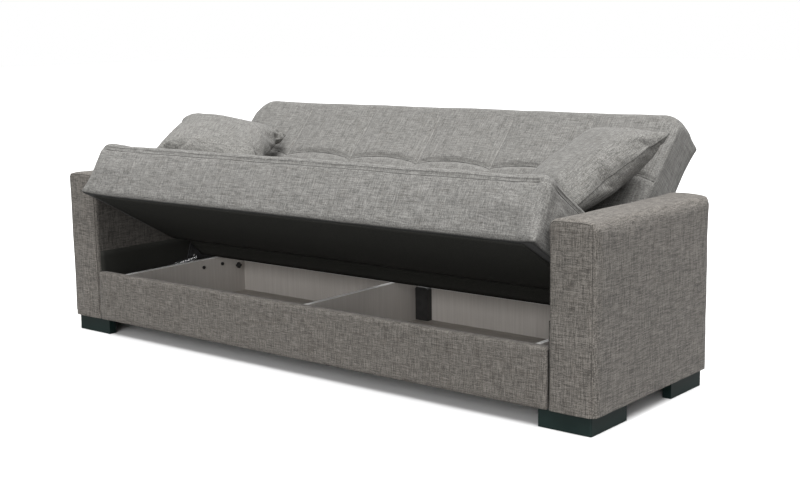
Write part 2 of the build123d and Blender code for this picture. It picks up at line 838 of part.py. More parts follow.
def back_webbing():
    pitch = 2 * (pocket_x - back_rail) / back_straps
    half = webbing_width / 2
    z1 = back_pocket_front
    straps = []
    for number in range(back_straps):
        x = -pocket_x + back_rail + (number + 0.5) * pitch
        y0 = back_foot_y + dust_cover
        straps.append(block(x - half, x + half, y0, back_pocket_top, z1 - webbing_thickness, z1))
    return group(straps)


def back_foot_cover():
    x = slab_half - dust_cover_inset
    z1 = seat_top - back_foot_radius
    return block(-x, x, back_foot_y, back_foot_y + dust_cover, back_rear, z1)


# Loose pillow: lens-shaped sections along its width, thinnest at the sewn edges
def pillow():
    sections = []
    for station in (-1, -0.82, -0.45, 0, 0.45, 0.82, 1):
        swell = (1 - abs(station) ** pillow_side_swell) ** pillow_top_swell
        thick = (pillow_edge + (pillow_thickness - pillow_edge) * swell) / 2
        half = pillow_size / 2 - pillow_draw * (1 - station * station)
        upper = ThreePointArc((-half, 0), (0, thick), (half, 0))
        lower = ThreePointArc((half, 0), (0, -thick), (-half, 0))
        sections.append(Plane.YZ.offset(station * pillow_size / 2) * make_face(upper + lower))
    return loft(sections)


def placed_pillow(x, forward, turn, rise):
    turned = pillow().rotate(Axis.Z, turn[2]).rotate(Axis.Y, turn[1]).rotate(Axis.X, turn[0])
    z = seat_top + rise - turned.bounding_box().min.Z
    return raised(Pos(x, hinge_y - forward, z) * turned)


def both(name, right):
    return {"right_" + name: right, "left_" + name: other_side(right)}


def sofa_nodes():
    nodes = {}
    nodes |= both("arm_cover", arm_cover())
    nodes |= both("arm_frame", arm_frame())
    nodes |= both("arm_lining", arm_lining())
    foot = front_foot()
    nodes |= both("front_foot", foot) | both("rear_foot", mirror(foot, about=Plane.XZ))
    nodes["foot_screws"] = foot_screws()
    nodes["front_rail_board"] = front_rail_board()
    nodes["front_rail_cover"] = front_rail_cover()
    nodes |= both("box_panel", side_panel()) | both("box_floor", floor_board())
    nodes["box_divider"] = divider()
    nodes["box_back_panel"] = back_panel()
    nodes["box_edge_bands"] = edge_bands()
    nodes["divider_post"] = divider_post()
    nodes["arm_bolts"] = arm_bolts()
    nodes["arm_nuts"] = arm_nuts()
    nodes["arm_bolt_tubes"] = bolt_tubes()
    nodes["arm_knobs"] = arm_knobs()
    nodes |= both("hinge_plate", hinge_plate())
    nodes["pivot_pins"] = pivot_pins()
    nodes["pivot_spacers"] = pivot_spacers()
    nodes["base_spring_pins"] = base_spring_pins()
    nodes |= both("lift_spring", lift_spring())
    nodes["seat_spring_pins"] = seat_spring_pins()
    nodes["seat_cushion"] = raised(seat_cushion())
    nodes["seat_frame"] = raised(seat_frame())
    nodes["seat_webbing"] = raised(seat_webbing())
    nodes["seat_dust_cover"] = raised(seat_dust_cover())
    nodes |= both("seat_arm", raised(seat_arm()))
    nodes["seat_arm_sleeves"] = raised(seat_arm_sleeves())
    nodes["seat_arm_bolts"] = raised(seat_arm_bolts())
    nodes["back_cushion"] = reclined(back_cushion())
    nodes["back_frame"] = reclined(back_frame())
    nodes["back_webbing"] = reclined(back_webbing())
    nodes["back_foot_cover"] = reclined(back_foot_cover())
    nodes |= both("back_arm", reclined(back_arm()))
    nodes["back_arm_bolts"] = reclined(back_arm_bolts())
    nodes["pawl_pins"] = reclined(pawl_pins())
    nodes |= both("pawl", reclined(pawl()))
    right_x = slab_half - right_pillow_inset
    left_x = left_pillow_inset - slab_half
    nodes["right_pillow"] = placed_pillow(right_x, right_pillow_forward, right_pillow_turn, right_pillow_rise)
    nodes["left_pillow"] = placed_pillow(left_x, left_pillow_forward, left_pillow_turn, left_pillow_rise)
    return nodes


def main():
    nodes = sofa_nodes()
    boxes = [shape.bounding_box() for shape in nodes.values()]
    middle = (min(box.min.Y for box in boxes) + max(box.max.Y for box in boxes)) / 2
    os.makedirs("parts", exist_ok=True)
    for name, shape in nodes.items():
        export_step(Pos(0, -middle, 0) * shape, "parts/" + name + ".step")
    print("nodes", len(nodes))
    print("hinge line at y %.3f z %.3f" % (hinge_y - middle, hinge_z))
    print("middle of the open sofa at y %.3f from the middle of the arms" % middle)
    print("least gap between spring turns %.2f" % spring_self_gap())


main()
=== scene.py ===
# %% [markdown]
# Storage sofa bed, shown open
#
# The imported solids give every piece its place, its size and its motion. This lesson dresses them: the
# upholstery is copied from the solids, swollen like stuffed cloth and sewn, the boards and metal get their
# finishes, and a camera looks at the sofa from the front right. Everything is in metres, with X along the
# width, Y to the rear and Z up.

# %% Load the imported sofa
import json
import math

import bmesh
import bpy
import numpy as np
from mathutils import Matrix, Vector, noise


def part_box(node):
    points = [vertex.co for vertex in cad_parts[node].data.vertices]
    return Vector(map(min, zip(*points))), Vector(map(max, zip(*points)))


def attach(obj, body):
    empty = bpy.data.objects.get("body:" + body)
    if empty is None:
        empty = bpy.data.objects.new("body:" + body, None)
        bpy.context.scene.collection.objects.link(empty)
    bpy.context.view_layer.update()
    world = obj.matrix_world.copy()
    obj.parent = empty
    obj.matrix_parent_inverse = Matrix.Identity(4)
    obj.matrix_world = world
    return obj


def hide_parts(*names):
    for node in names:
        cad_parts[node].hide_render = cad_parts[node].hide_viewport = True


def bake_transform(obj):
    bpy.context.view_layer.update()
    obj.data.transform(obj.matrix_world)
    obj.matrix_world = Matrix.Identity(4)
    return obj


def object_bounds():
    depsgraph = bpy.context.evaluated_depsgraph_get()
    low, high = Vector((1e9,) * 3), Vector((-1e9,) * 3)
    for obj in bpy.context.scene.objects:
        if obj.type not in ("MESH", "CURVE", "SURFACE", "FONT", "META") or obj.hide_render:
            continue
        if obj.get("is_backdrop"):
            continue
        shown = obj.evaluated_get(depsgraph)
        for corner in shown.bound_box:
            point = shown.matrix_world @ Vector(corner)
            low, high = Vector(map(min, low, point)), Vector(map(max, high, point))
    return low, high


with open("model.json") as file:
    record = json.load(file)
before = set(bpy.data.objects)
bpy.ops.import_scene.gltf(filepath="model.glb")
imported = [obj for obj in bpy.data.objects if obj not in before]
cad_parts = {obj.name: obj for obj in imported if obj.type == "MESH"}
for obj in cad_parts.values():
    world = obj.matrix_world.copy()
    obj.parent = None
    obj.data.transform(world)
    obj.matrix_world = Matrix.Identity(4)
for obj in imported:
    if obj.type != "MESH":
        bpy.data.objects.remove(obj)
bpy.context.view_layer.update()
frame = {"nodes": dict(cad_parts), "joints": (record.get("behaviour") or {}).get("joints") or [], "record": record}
nodes = frame["nodes"]
scene = bpy.context.scene

# %% [markdown]
# The seat is raised and the back leans, so neither lies square to the axes. Both turn about one hinge line.
# Sewing lines are easiest to think of with the cushion lying flat, as a bed, so each tilted piece is laid
# flat first with the inverse of its tilt, shaped there, and turned back up at the end.

# %% Hinge line and tilts
hinge = Vector(next(j for j in frame["joints"] if j["name"] == "seat_lift")["pos_m"])
LIFT_ANGLE = 29
BACK_ANGLE = 46


def tilt(degrees):
    turn = Matrix.Rotation(math.radians(degrees), 4, "X")
    return Matrix.Translation(hinge) @ turn @ Matrix.Translation(-hinge)


seat_tilt = tilt(-LIFT_ANGLE)
back_tilt = tilt(BACK_ANGLE)
level = Matrix.Identity(4)
print("hinge line at y %.4f z %.4f" % (hinge.y, hinge.z))

# %% [markdown]
# The cover cloth is a heathered linen weave: light and dark yarns cross, and thick slubs show as short
# dashes. A picture of cloth would need an unwrapped surface. Stretched noise needs none: three noises, each
# drawn out along one axis, give a crossing pair of yarns on every face of a block-shaped piece, and the
# third shows there as fine specks. The Mapping node first lays a tilted piece flat, so that the yarns
# follow the piece and not the room.


# %% Node helpers
def new_material(name):
    material = bpy.data.materials.new(name)
    material.use_nodes = True
    tree = material.node_tree
    return material, tree, tree.nodes["Principled BSDF"]


def add(tree, kind, **values):
    node = tree.nodes.new("ShaderNode" + kind)
    for key, value in values.items():
        setattr(node, key, value)
    return node


def placed_coordinates(tree, turn, scale):
    where = add(tree, "TexCoord")
    mapping = add(tree, "Mapping")
    mapping.inputs["Rotation"].default_value = turn
    tree.links.new(where.outputs["Object"], mapping.inputs["Vector"])
    stretch = add(tree, "Mapping")
    stretch.inputs["Scale"].default_value = scale
    tree.links.new(mapping.outputs["Vector"], stretch.inputs["Vector"])
    return stretch.outputs["Vector"]


def grain(tree, turn, scale, detail=2.0, rough=0.55):
    texture = add(tree, "TexNoise")
    texture.inputs["Scale"].default_value = 1.0
    texture.inputs["Detail"].default_value = detail
    texture.inputs["Roughness"].default_value = rough
    tree.links.new(placed_coordinates(tree, turn, scale), texture.inputs["Vector"])
    return texture.outputs["Fac"]


def ramp(tree, source, stops):
    node = add(tree, "ValToRGB")
    while len(node.color_ramp.elements) < len(stops):
        node.color_ramp.elements.new(0.5)
    for element, (place, colour) in zip(node.color_ramp.elements, stops):
        element.position = place
        element.color = (*colour, 1.0)
    tree.links.new(source, node.inputs["Fac"])
    return node.outputs["Color"]


def blended(tree, kind, factor, first, second):
    node = add(tree, "Mix", data_type="RGBA", blend_type=kind)
    if isinstance(factor, float):
        node.inputs["Factor"].default_value = factor
    else:
        tree.links.new(factor, node.inputs["Factor"])
    for key, value in (("A", first), ("B", second)):
        socket = next(s for s in node.inputs if s.name == key and s.type == "RGBA")
        if isinstance(value, tuple):
            socket.default_value = (*value, 1.0)
        else:
            tree.links.new(value, socket)
    return next(s for s in node.outputs if s.type == "RGBA")


def raised_grain(tree, shader, height, strength, distance):
    bump = add(tree, "Bump")
    bump.inputs["Strength"].default_value = strength
    bump.inputs["Distance"].default_value = distance
    tree.links.new(height, bump.inputs["Height"])
    tree.links.new(bump.outputs["Normal"], shader.inputs["Normal"])


# %% Linen cover cloth
CUSHION_TONE = (0.170, 0.167, 0.159)
PILLOW_TONE = (0.172, 0.169, 0.160)
ARM_TONE = (0.138, 0.128, 0.116)
YARN_RUNS = ((27, 400, 400), (400, 28, 400), (400, 400, 30))
SLUB_RUNS = ((14, 260, 260), (260, 15, 260), (260, 260, 16))
DARK_YARN = 0.45
LIGHT_YARN = 0.55
WEAVE_HEIGHT = 0.0016


def toned(colour, share):
    return tuple(part * share for part in colour)


def added_up(tree, first, second):
    node = add(tree, "Math", operation="ADD")
    tree.links.new(first, node.inputs[0])
    tree.links.new(second, node.inputs[1])
    return node.outputs["Value"]


def linen(name, tone, turn=(0, 0, 0), contrast=1.0):
    material, tree, shader = new_material(name)
    yarns = [grain(tree, turn, run, 1.0, 0.6) for run in YARN_RUNS]
    total = added_up(tree, added_up(tree, yarns[0], yarns[1]), yarns[2])
    third = add(tree, "Math", operation="MULTIPLY")
    third.inputs[1].default_value = 1 / 3
    tree.links.new(total, third.inputs[0])
    woven = third.outputs["Value"]
    dark = toned(tone, 1 - DARK_YARN * contrast)
    light = toned(tone, 1 + LIGHT_YARN * contrast)
    colour = ramp(tree, woven, [(0.39, dark), (0.5, tone), (0.61, light)])
    for run in SLUB_RUNS:
        slubs = ramp(tree, grain(tree, turn, run, 0.0), [(0.6, (1, 1, 1)), (0.74, (0.87, 0.86, 0.85))])
        colour = blended(tree, "MULTIPLY", 1.0, colour, slubs)
    patches = grain(tree, turn, (6, 6, 6), 2.0)
    wash = ramp(tree, patches, [(0.3, (0.975, 0.975, 0.97)), (0.7, (1.025, 1.02, 1.02))])
    colour = blended(tree, "MULTIPLY", 1.0, colour, wash)
    tree.links.new(colour, shader.inputs["Base Color"])
    shader.inputs["Roughness"].default_value = 0.92
    shader.inputs["Specular IOR Level"].default_value = 0.2
    shader.inputs["Sheen Weight"].default_value = 0.1
    shader.inputs["Sheen Roughness"].default_value = 0.5
    raised_grain(tree, shader, woven, 0.5, WEAVE_HEIGHT)
    return material


seat_turn = (math.radians(LIFT_ANGLE), 0, 0)
back_turn = (math.radians(-BACK_ANGLE), 0, 0)
linen_arm = linen("linen_arm", ARM_TONE, contrast=1.2)
# The rail gets the same cloth as the arms as a material of its own, so the painted shade on the arms' inner side
# stays off it.
linen_rail = linen("linen_rail", ARM_TONE, contrast=1.2)
linen_seat = linen("linen_seat", CUSHION_TONE, seat_turn, 0.95)
linen_back = linen("linen_back", CUSHION_TONE, back_turn, 0.85)
# Seam finishes: the same cloth painted darker, as painted shade in the creases along the seams.
shaded_linen_seam = linen("shaded_linen_seam", toned(CUSHION_TONE, 0.6))
shaded_linen_pillow_seam = linen("shaded_linen_pillow_seam", toned(PILLOW_TONE, 0.65))
shaded_linen_edge_seam = linen("shaded_linen_edge_seam", toned(CUSHION_TONE, 0.8))
shaded_linen_arm_seam = linen("shaded_linen_arm_seam", toned(ARM_TONE, 0.6))
# Upright back seams: the same cloth painted half as light again, as a painted highlight on the seam ridge.
linen_stitch_highlight = linen("linen_stitch_highlight", toned(CUSHION_TONE, 1.5), back_turn, 0.4)
print("linen finishes ready")

# %% [markdown]
# Below the seat the inner side of each arm lies in shade, and so does the turned-under edge on the underside
# of the seat. That shade is painted: instead of further pieces, the finish itself darkens where a point lies
# within a few millimetres of those sides. The seat's height is measured with the seat laid flat, by the same
# turn that its yarns use.


# %% Painted shade on hidden sides
# Painted shade: how high the darkened inner side of the arms reaches, how soft its top is, and how dark the shade
# and the seat's underside are.
INNER_SHADE_TOP = 0.50
INNER_SHADE_FADE = 0.06
INNER_SHADE = 0.6
UNDERSIDE_SHADE = 0.12


# Paints shade into the cloth colour on the arms' inner side below the seat.
def paint_inner_side_shade(material, inner):
    tree = material.node_tree
    shader = tree.nodes["Principled BSDF"]
    colour = shader.inputs["Base Color"].links[0].from_socket
    where = add(tree, "TexCoord")
    parts = add(tree, "SeparateXYZ")
    tree.links.new(where.outputs["Object"], parts.inputs["Vector"])
    distance = add(tree, "Math", operation="ABSOLUTE")
    tree.links.new(parts.outputs["X"], distance.inputs[0])
    inward = add(tree, "MapRange")
    inward.inputs["From Min"].default_value = inner + 0.001
    inward.inputs["From Max"].default_value = inner + 0.006
    tree.links.new(distance.outputs["Value"], inward.inputs["Value"])
    above = add(tree, "MapRange")
    above.inputs["From Min"].default_value = INNER_SHADE_TOP
    above.inputs["From Max"].default_value = INNER_SHADE_TOP + INNER_SHADE_FADE
    tree.links.new(parts.outputs["Z"], above.inputs["Value"])
    lit = add(tree, "Math", operation="MAXIMUM")
    tree.links.new(inward.outputs["Result"], lit.inputs[0])
    tree.links.new(above.outputs["Result"], lit.inputs[1])
    shade = ramp(tree, lit.outputs["Value"], [(0.0, (INNER_SHADE,) * 3), (1.0, (1, 1, 1))])
    tree.links.new(blended(tree, "MULTIPLY", 1.0, colour, shade), shader.inputs["Base Color"])


# Paints shade into the cloth colour on the underside of a tilted piece, within a few millimetres of its bottom.
def paint_underside_shade(material, turn, height):
    tree = material.node_tree
    shader = tree.nodes["Principled BSDF"]
    colour = shader.inputs["Base Color"].links[0].from_socket
    parts = add(tree, "SeparateXYZ")
    tree.links.new(placed_coordinates(tree, turn, (1, 1, 1)), parts.inputs["Vector"])
    above = add(tree, "MapRange")
    above.inputs["From Min"].default_value = height
    above.inputs["From Max"].default_value = height + 0.004
    tree.links.new(parts.outputs["Z"], above.inputs["Value"])
    shade = ramp(tree, above.outputs["Result"], [(0.0, (UNDERSIDE_SHADE,) * 3), (1.0, (1, 1, 1))])
    tree.links.new(blended(tree, "MULTIPLY", 1.0, colour, shade), shader.inputs["Base Color"])


arm_inner_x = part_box("right_arm_cover")[0].x
# Painted shade on the inner side of the arms.
paint_inner_side_shade(linen_arm, arm_inner_x)
print("inner side of the arms at x %.4f" % arm_inner_x)

# %% [markdown]
# A padded cover is cloth pulled over foam. Cutting it from a box would leave flat, dead faces. Here the
# outer form of the solid is copied, its surface is rebuilt in even cells, and a short cloth simulation with
# a little air pressure lets the faces swell between their edges. A cap on the movement keeps the piece in
# the space of its solid.


# %% Copy, even out and swell a cover
def points_of(mesh, kind="co"):
    flat = np.empty(len(mesh.vertices) * 3, np.float32)
    mesh.vertices.foreach_get(kind, flat)
    return flat.reshape(-1, 3).astype(float)


def set_points(mesh, points):
    mesh.vertices.foreach_set("co", points.astype(np.float32).ravel())
    mesh.update()


def added(name, mesh):
    piece = bpy.data.objects.new(name, mesh)
    scene.collection.objects.link(piece)
    return piece


def baked(piece):
    depsgraph = bpy.context.evaluated_depsgraph_get()
    mesh = bpy.data.meshes.new_from_object(piece.evaluated_get(depsgraph))
    piece.modifiers.clear()
    piece.data = mesh
    return piece


def outer_form(node, name, tilted):
    bm = bmesh.new()
    bm.from_mesh(nodes[node].data)
    bm.transform(tilted.inverted())
    bmesh.ops.delete(bm, geom=bm.edges[:], context="EDGES_FACES")
    bmesh.ops.remove_doubles(bm, verts=bm.verts, dist=0.0005)
    hull = bmesh.ops.convex_hull(bm, input=bm.verts[:])
    left_over = hull["geom_interior"] + hull["geom_unused"]
    spare = {item for item in left_over if isinstance(item, bmesh.types.BMVert)}
    bmesh.ops.delete(bm, geom=list(spare), context="VERTS")
    mesh = bpy.data.meshes.new(name)
    bm.to_mesh(mesh)
    bm.free()
    return added(name, mesh)


def even_cells(piece, cell):
    remesh = piece.modifiers.new("even_cells", "REMESH")
    remesh.mode = "VOXEL"
    remesh.voxel_size = cell
    return baked(piece)


def swollen(piece, pressure, cap, frames=20, bending=4.0):
    rest = points_of(piece.data)
    cloth = piece.modifiers.new("stuffing", "CLOTH")
    settings = cloth.settings
    settings.quality = 4
    settings.mass = 0.3
    settings.tension_stiffness = 20
    settings.compression_stiffness = 20
    settings.shear_stiffness = 8
    settings.bending_stiffness = bending
    settings.use_pressure = True
    settings.uniform_pressure_force = pressure
    settings.effector_weights.gravity = 0
    cloth.point_cache.frame_start = 1
    cloth.point_cache.frame_end = frames
    for number in range(1, frames + 1):
        scene.frame_set(number)
    baked(piece)
    scene.frame_set(1)
    shift = points_of(piece.data) - rest
    length = np.maximum(np.linalg.norm(shift, axis=1), 1e-9)
    set_points(piece.data, rest + shift * np.minimum(1, cap / length)[:, None])
    return piece


def subdivided(piece):
    finer = piece.modifiers.new("finer", "SUBSURF")
    finer.levels = 1
    finer.render_levels = 1
    return baked(piece)


def within(piece, low, high):
    set_points(piece.data, np.clip(points_of(piece.data), low, high))


def finished(piece, tilted, material, body, slot, *stands_for):
    piece.data.transform(tilted)
    for polygon in piece.data.polygons:
        polygon.use_smooth = True
    piece.data.materials.clear()
    piece.data.materials.append(material)
    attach(piece, body)
    if stands_for:
        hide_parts(*stands_for)
    print(piece.name, "faces", len(piece.data.polygons))
    return piece


# %% [markdown]
# Cloth is never quite even. A slow wave of about a millimetre, drawn from the same noise on every run,
# breaks up the reflections on the long faces without changing the outline.


# %% Unevenness of stretched cloth
def uneven(piece, size, amount, seed):
    points = points_of(piece.data)
    normals = points_of(piece.data, "normal")
    offset = Vector((seed * 7.3, seed * 3.1, seed * 5.7))
    waves = np.array([noise.noise(Vector(p) / size + offset) for p in points])
    set_points(piece.data, points + normals * (waves * amount)[:, None])


# %% [markdown]
# Seams are what tells upholstery from a moulded block. Each seam is a line of points laid on the finished
# surface, made a thin tube and sunk to its middle, so that it reads as a sewn edge with its own small
# shadow. Most seam tubes are also painted darker than the cloth, as painted shade in the crease, and the
# upright seams of the back are painted lighter, as a painted highlight on their ridge.


# %% Sewn lines
def evened(path, window):
    grid = np.array([tuple(place) for place in path])
    padded = np.pad(grid, ((window, window), (0, 0)), "edge")
    width = 2 * window + 1
    return [Vector(padded[step:step + width].mean(0)) for step in range(len(grid))]


def on_surface(piece, points, lift, window=3):
    found = []
    for point in points:
        hit, place, normal, face = piece.closest_point_on_mesh(Vector(point))
        found.append(place + normal * lift)
    return evened(found, window)


def dropped_on(piece, points, lift, window=3):
    found = []
    for x, y, z in points:
        hit, place, normal, face = piece.ray_cast(Vector((x, y, z + 0.1)), Vector((0, 0, -1)))
        found.append(Vector((x, y, place.z + lift)))
    return evened(found, window)


def sewn_line(name, path, radius, tilted, body, material, cyclic=False):
    curve = bpy.data.curves.new(name, "CURVE")
    curve.dimensions = "3D"
    curve.bevel_depth = radius
    curve.bevel_resolution = 1
    curve.use_fill_caps = True
    spline = curve.splines.new("POLY")
    spline.points.add(len(path) - 1)
    for point, place in zip(spline.points, path):
        point.co = (*place, 1.0)
    spline.use_cyclic_u = cyclic
    line = added(name + "_line", curve)
    depsgraph = bpy.context.evaluated_depsgraph_get()
    mesh = bpy.data.meshes.new_from_object(line.evaluated_get(depsgraph))
    bpy.data.objects.remove(line)
    return finished(added(name, mesh), tilted, material, body, "grey_linen_fabric")


def stretch(start, end, count):
    return [Vector(start).lerp(Vector(end), step / (count - 1)) for step in range(count)]


def rounded_loop(x0, x1, y0, y1, radius, count=12):
    points = []
    corners = ((x1 - radius, y1 - radius, 0), (x0 + radius, y1 - radius, 90),
               (x0 + radius, y0 + radius, 180), (x1 - radius, y0 + radius, 270))
    for x, y, start in corners:
        for step in range(count + 1):
            angle = math.radians(start + 90 * step / count)
            points.append((x + radius * math.cos(angle), y + radius * math.sin(angle)))
    return points


def dense(loop, gap, closed=True):
    ends = loop[1:] + loop[:1] if closed else loop[1:]
    points = []
    for start, end in zip(loop, ends):
        steps = max(1, int(math.dist(start, end) / gap))
        points += [tuple(Vector(start).lerp(Vector(end), step / steps)) for step in range(steps)]
    return points if closed else points + [tuple(loop[-1])]


# %% [markdown]
# Three things are done to several covers: the padding lifts the whole cloth a little, a corner is drawn out
# to a firm point, and other corners are rounded off. The rounding has to follow the swollen cloth, so the
# outline is first read from the cloth itself, section by section, and what lies outside an arc in that
# outline is pulled in to it.


# %% Fuller faces, firm and rounded corners
def plumped(piece, amount):
    set_points(piece.data, points_of(piece.data) + points_of(piece.data, "normal") * amount)


def drawn_out(piece, corner, axes, reach, share):
    points = points_of(piece.data)
    way = np.zeros_like(points)
    way[:, axes] = np.array(corner) - points[:, axes]
    near = np.exp(-(np.linalg.norm(way, axis=1) / reach) ** 2)
    set_points(piece.data, points + way * (near * share)[:, None])


def widest(along, measure, chosen, count=24):
    edges = np.linspace(along[chosen].min(), along[chosen].max(), count + 1)
    spots, tops = [], []
    for start, end in zip(edges, edges[1:]):
        inside = chosen & (along >= start) & (along <= end)
        if inside.any():
            spots.append((start + end) / 2)
            tops.append(measure[inside].max())
    return np.interp(along, spots, tops)


def corner_rounded(points, axes, corner, radius):
    first, second = axes
    out_first = np.abs(points[:, first]) - (corner[0] - radius)
    out_second = points[:, second] - (corner[1] - radius)
    length = np.maximum(np.hypot(out_first, out_second), 1e-9)
    outside = (out_first > 0) & (out_second > 0) & (length > radius)
    share = np.where(outside, radius / length, 1.0)
    rounded = points.copy()
    rounded[:, first] -= np.sign(points[:, first]) * np.where(outside, out_first * (1 - share), 0)
    rounded[:, second] -= np.where(outside, out_second * (1 - share), 0)
    return rounded


# %% [markdown]
# The arms are plain upright blocks with softly rounded top edges. A separate panel is sewn into the front
# end, and its seam runs up one side, over the top and down the other. The same panel closes the rear end.
# The cloth is turned under and stapled at the bottom, which leaves a crisp edge there: the cover is made a
# little too long and then cut level.


# %% Arms
def lengthened(piece, low, extra):
    points = points_of(piece.data)
    points[points[:, 2] < low.z + 0.001, 2] -= extra
    set_points(piece.data, points)
    return piece


def trimmed(piece, height):
    bm = bmesh.new()
    bm.from_mesh(piece.data)
    everything = bm.verts[:] + bm.edges[:] + bm.faces[:]
    cut = bmesh.ops.bisect_plane(bm, geom=everything, plane_co=(0, 0, height), plane_no=(0, 0, -1),
                                 clear_outer=True)
    rim = [item for item in cut["geom_cut"] if isinstance(item, bmesh.types.BMEdge)]
    bmesh.ops.triangle_fill(bm, edges=rim, use_beauty=True, normal=(0, 0, -1))
    for edge in rim:
        edge.smooth = False
    bm.to_mesh(piece.data)
    bm.free()
    return piece


SPARE_CLOTH = 0.03
ARM_CELL = 0.009
ARM_PRESSURE = 3.0
ARM_SWELL = 0.004
ARM_PLUMP = 0.0022
PANEL_INSET = 0.006
PANEL_DROP = 0.007
PANEL_ROUND = 0.022
below = np.array([0, 0, SPARE_CLOTH])


def upholstered_arm(side):
    node = side + "_arm_cover"
    low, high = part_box(node)
    arm = lengthened(outer_form(node, side + "_arm_upholstery", level), low, SPARE_CLOTH)
    even_cells(arm, ARM_CELL)
    swollen(arm, ARM_PRESSURE, ARM_SWELL)
    subdivided(arm)
    plumped(arm, ARM_PLUMP)
    uneven(arm, 0.12, 0.0016, 1 if side == "right" else 2)
    outer = Vector((0.004 if side == "right" else 0.0, 0.002, 0.002))
    inner = Vector((0.0 if side == "right" else 0.004, 0.002, 0.0))
    within(arm, np.array(low - inner) - below, np.array(high + outer))
    trimmed(arm, low.z - 0.0006)
    for end, y in (("front", low.y), ("rear", high.y)):
        inner_x, outer_x = low.x + PANEL_INSET, high.x - PANEL_INSET
        panel = rounded_loop(inner_x, outer_x, low.z - 0.1, high.z - PANEL_DROP, PANEL_ROUND)
        panel = [(x, y, z) for x, z in dense(panel, 0.008) if z > low.z + 0.004]
        first = max(range(len(panel)), key=lambda i: math.dist(panel[i], panel[i - 1]))
        path = on_surface(arm, panel[first:] + panel[:first], 0.0002)
        sewn_line(side + "_arm_" + end + "_seam", path, 0.0012, level, "base", shaded_linen_arm_seam)
    finished(arm, level, linen_arm, "base", "grey_linen_fabric", node)


for side in ("right", "left"):
    upholstered_arm(side)

# %% [markdown]
# The front rail is a board wrapped in thin wadding and the same cloth, pulled tight, so it stays nearly
# flat.

# %% Front rail
RAIL_CELL = 0.007
RAIL_PLUMP = 0.0012
low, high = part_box("front_rail_cover")
rail = lengthened(outer_form("front_rail_cover", "front_rail_upholstery", level), low, SPARE_CLOTH)
even_cells(rail, RAIL_CELL)
plumped(rail, RAIL_PLUMP)
uneven(rail, 0.16, 0.0012, 3)
within(rail, np.array(low) - below, np.array(high))
trimmed(rail, low.z - 0.0004)
finished(rail, level, linen_rail, "base", "grey_linen_fabric", "front_rail_cover")

# %% [markdown]
# The seat is a deep boxed cushion. A top panel, a front that runs down over the edge and two end panels
# meet in a sewn line a little below the top edge. The line runs all the way round, with a second row of
# stitches beside it. The front is wider than the part between the hinges. Ahead of the arms it flares out a
# little more, and at its lower corners the cloth is folded into a small point. The upper side edges are
# rounded.

# %% Seat
SEAT_CELL = 0.0105
SEAT_PRESSURE = 3.5
SEAT_SWELL = 0.010
SEAT_PLUMP = 0.003
seat = outer_form("seat_cushion", "seat_upholstery", seat_tilt)
seat_points = points_of(seat.data)
seat_low, seat_high = seat_points.min(0), seat_points.max(0)
even_cells(seat, SEAT_CELL)
swollen(seat, SEAT_PRESSURE, SEAT_SWELL)
subdivided(seat)
plumped(seat, SEAT_PLUMP)
uneven(seat, 0.19, 0.0035, 4)
within(seat, seat_low - np.array([0, 0.005, 0]), seat_high + np.array([0, 0, 0.005]))

HINGE_HALF = 0.9295
WING_START = 0.322
WING_END = 0.352
SEAT_REAR = 0.102
SEAT_EDGE = 0.092
SEAT_SLOPE = 0.0531
SEAM_DROP = 0.023
SEAM_WAVE = 0.0022
SEAM_WAVE_LENGTH = 0.23
ROW_GAP = 0.007
NOSE_DEPTH = 0.060
NOSE_FLARE = 0.016
FLARE_START = 0.80
FLARE_EASE = 0.13
FOLD_REACH = 0.045
FOLD_SHARE = 0.85
EDGE_ROUND = 0.040
SIDE_BAND = (0.30, 0.40)
TOP_HALF = 0.85
GROOVE_DEPTH = 0.0035
GROOVE_HALF = 0.0075
WELT_RISE = 0.002
WELT_ABOVE = 0.014
WELT_HALF = 0.009


def side_limit(ahead):
    share = np.clip((ahead - WING_START) / (WING_END - WING_START), 0, 1)
    return HINGE_HALF + (seat_high[0] - HINGE_HALF) * share


def seam_height(x, y):
    places = zip(np.atleast_1d(x), np.atleast_1d(y))
    waves = [noise.noise(Vector((a / SEAM_WAVE_LENGTH, b / SEAM_WAVE_LENGTH, 9.0))) for a, b in places]
    level_seam = hinge.z + SEAT_EDGE + SEAT_SLOPE * (hinge.y - y - SEAT_REAR) - SEAM_DROP
    return level_seam + SEAM_WAVE * np.array(waves)


points = points_of(seat.data)
limit = side_limit(hinge.y - points[:, 1])
points[:, 0] = np.clip(points[:, 0], -limit, limit)
flare = np.clip((seat_low[1] + NOSE_DEPTH - points[:, 1]) / NOSE_DEPTH, 0, 1) ** 1.5
outermost = np.clip((np.abs(points[:, 0]) - FLARE_START) / FLARE_EASE, 0, 1)
points[:, 0] += np.sign(points[:, 0]) * NOSE_FLARE * flare * outermost
in_band = (points[:, 2] > SIDE_BAND[0]) & (points[:, 2] < SIDE_BAND[1])
side_line = widest(points[:, 1], np.abs(points[:, 0]), in_band)
top_line = widest(points[:, 1], points[:, 2], np.abs(points[:, 0]) < TOP_HALF)
set_points(seat.data, corner_rounded(points, (0, 2), (side_line, top_line), EDGE_ROUND))
for sign in (-1, 1):
    fold = (sign * (seat_high[0] + NOSE_FLARE), seat_low[1] - 0.010, seat_low[2] - 0.002)
    drawn_out(seat, fold, [0, 1, 2], FOLD_REACH, FOLD_SHARE)

points = points_of(seat.data)
normals = points_of(seat.data, "normal")
over_seam = points[:, 2] - seam_height(points[:, 0], points[:, 1])
sides = np.abs(normals[:, 2]) < 0.85
groove = GROOVE_DEPTH * np.exp(-(over_seam / GROOVE_HALF) ** 2)
groove -= WELT_RISE * np.exp(-((over_seam - WELT_ABOVE) / WELT_HALF) ** 2)
set_points(seat.data, points - normals * (groove * sides)[:, None])
